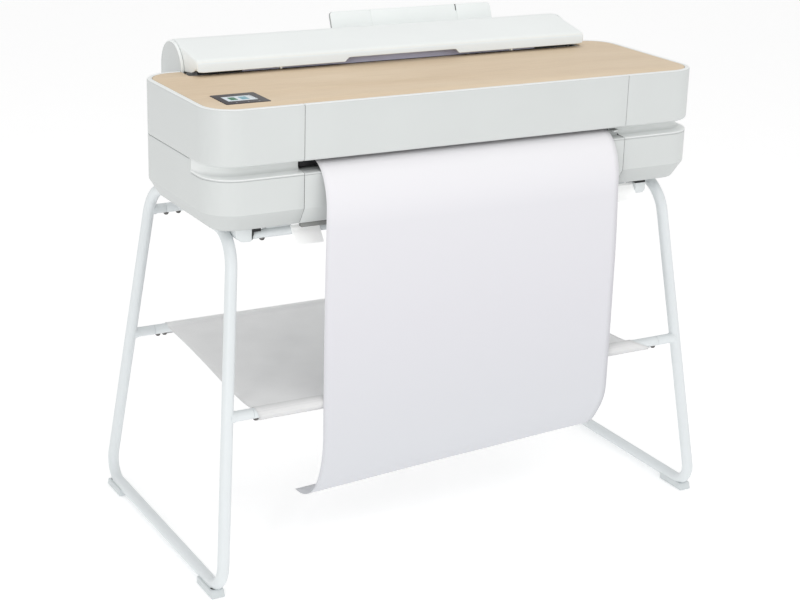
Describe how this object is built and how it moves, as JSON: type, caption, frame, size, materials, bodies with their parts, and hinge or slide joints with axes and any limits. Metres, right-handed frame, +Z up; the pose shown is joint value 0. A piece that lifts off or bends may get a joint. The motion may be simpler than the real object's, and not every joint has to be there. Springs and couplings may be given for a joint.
{
  "type": "large format plotter",
  "caption": "Wide-format inkjet plotter on a splayed tubular stand: rounded white body with a pale wooden top, domed roll cover, falling sheet and a fabric catch basket.",
  "frame": {"origin": "on the floor, at the middle of the footprint", "axes": "+X to the right seen from the front, the front faces -Y, +Z up"},
  "size_m": [1.062, 0.5777, 0.9353],
  "materials": {
    "cover_white": "fine matt, off-white",
    "deck_white": "matt",
    "lid_white": "smooth satin",
    "cheek_grey": "matt",
    "tube_white": "smooth powder coat",
    "fabric_white": "plain woven polyester",
    "wood": "pale straight-grained veneer, matt",
    "screen_black": "gloss",
    "screen_glass": "clear, gloss",
    "dark_plastic": "matt",
    "slot_grey": "matt",
    "steel": "brushed zinc-plated sheet",
    "rail_grey": "satin paint",
    "rubber": "matt",
    "gear_plastic": "moulded",
    "brass": "turned",
    "paper": "smooth, uncoated",
    "hub_blue": "moulded",
    "board_green": "varnished board",
    "ink_plastic": "moulded",
    "strip_clear": "clear film"
  },
  "bodies": {
    "body": {"side_frame_left": "tube_white", "side_frame_right": "tube_white", "foot_shoes": "tube_white", "upper_front_bar": "tube_white", "upper_rear_bar": "tube_white", "basket_front_bar": "tube_white", "basket_rear_bar": "tube_white", "bar_brackets": "cheek_grey", "stand_bolts": "steel", "guide_flaps": "lid_white", "basket_fabric": "fabric_white", "lower_left_shell": "cover_white", "lower_right_shell": "cover_white", "lower_front_panel": "cover_white", "base_tray": "cover_white", "base_rail": "rail_grey", "rear_cover": "cover_white", "roll_trough": "lid_white", "roll_cheeks": "cheek_grey", "upper_left_cover": "cover_white", "upper_right_cover": "cover_white", "top_deck": "deck_white", "wood_top": "wood", "screen_bezel": "screen_black", "screen_glass": "screen_glass", "sheet_slot": "slot_grey", "spindle_saddles": "cheek_grey", "paper_sheet": "paper", "platen": "dark_plastic", "feed_bearings": "steel", "feed_motor": "steel", "pinch_arms": "cheek_grey", "carriage_rod": "steel", "carriage_beam": "steel", "drive_belt": "rubber", "carriage_motor": "steel", "encoder_strip": "strip_clear", "service_station": "dark_plastic", "ink_station": "dark_plastic", "ink_cartridges": "ink_plastic", "electronics": "board_green", "power_inlet": "dark_plastic"},
    "door": {"front_door": "cover_white"},
    "lid": {"roll_cover": "lid_white"},
    "support": {"sheet_support": "lid_white"},
    "support_slide": {"sheet_extension": "lid_white"},
    "roll": {"spindle": "dark_plastic", "spindle_hubs": "hub_blue", "paper_roll": "paper"},
    "feed_shaft": {"feed_roller": "rubber", "feed_gear": "gear_plastic"},
    "pinion": {"feed_pinion": "brass"},
    "pinch_shaft": {"pinch_rollers": "rubber"},
    "head": {"carriage": "dark_plastic", "print_head": "ink_plastic", "paper_cutter": "steel"},
    "pulley_right": {"motor_pulley": "steel"},
    "pulley_left": {"idler_pulley": "steel"},
    "cap": {"cap_sled": "rubber"},
    "button": {"power_button": "lid_white"}
  },
  "joints": [
    {"name": "front_door_hinge", "type": "hinge", "parent": "body", "child": "door", "pos_m": [0, -0.214, 0.775], "axis": [1, 0, 0], "range_deg": [0, 80]},
    {"name": "roll_cover_hinge", "type": "hinge", "parent": "body", "child": "lid", "pos_m": [0, 0.156, 0.863], "axis": [-1, 0, 0], "range_deg": [0, 95]},
    {"name": "sheet_support_hinge", "type": "hinge", "parent": "lid", "child": "support", "pos_m": [0, 0.21297, 0.89304], "axis": [1, 0, 0], "range_deg": [0, 70]},
    {"name": "sheet_extension_slide", "type": "slide", "parent": "support", "child": "support_slide", "axis": [0, 0.3891, 0.9212], "range_m": [0, 0.024]},
    {"name": "roll_spin", "type": "hinge", "parent": "body", "child": "roll", "pos_m": [0, 0.156, 0.863], "axis": [1, 0, 0], "continuous": true},
    {"name": "feed_roller_spin", "type": "hinge", "parent": "body", "child": "feed_shaft", "pos_m": [0, -0.01, 0.75145], "axis": [1, 0, 0], "continuous": true},
    {"name": "feed_pinion_spin", "type": "hinge", "parent": "body", "child": "pinion", "pos_m": [-0.35, 0.02315, 0.75145], "axis": [1, 0, 0], "continuous": true},
    {"name": "pinch_roller_spin", "type": "hinge", "parent": "body", "child": "pinch_shaft", "pos_m": [0, -0.01, 0.77155], "axis": [1, 0, 0], "continuous": true},
    {"name": "carriage_slide", "type": "slide", "parent": "body", "child": "head", "axis": [1, 0, 0], "range_m": [-0.7, 0]},
    {"name": "motor_pulley_spin", "type": "hinge", "parent": "body", "child": "pulley_right", "pos_m": [0.47, -0.046, 0.818], "axis": [0, 1, 0], "continuous": true},
    {"name": "idler_pulley_spin", "type": "hinge", "parent": "body", "child": "pulley_left", "pos_m": [-0.47, -0.046, 0.818], "axis": [0, 1, 0], "continuous": true},
    {"name": "cap_drop", "type": "slide", "parent": "body", "child": "cap", "axis": [0, 0, -1], "range_m": [0, 0.006]},
    {"name": "power_button_press", "type": "slide", "parent": "body", "child": "button", "axis": [0, -1, 0], "range_m": [0, 0.0015], "stiffness_N_per_m": 600}
  ],
  "couplings": [
    {"joint": "feed_pinion_spin", "follows": "feed_roller_spin", "ratio": -2.6667},
    {"joint": "pinch_roller_spin", "follows": "feed_roller_spin", "ratio": -1.7143},
    {"joint": "motor_pulley_spin", "follows": "carriage_slide", "rad_per_m": -125},
    {"joint": "idler_pulley_spin", "follows": "carriage_slide", "rad_per_m": -125}
  ]
}
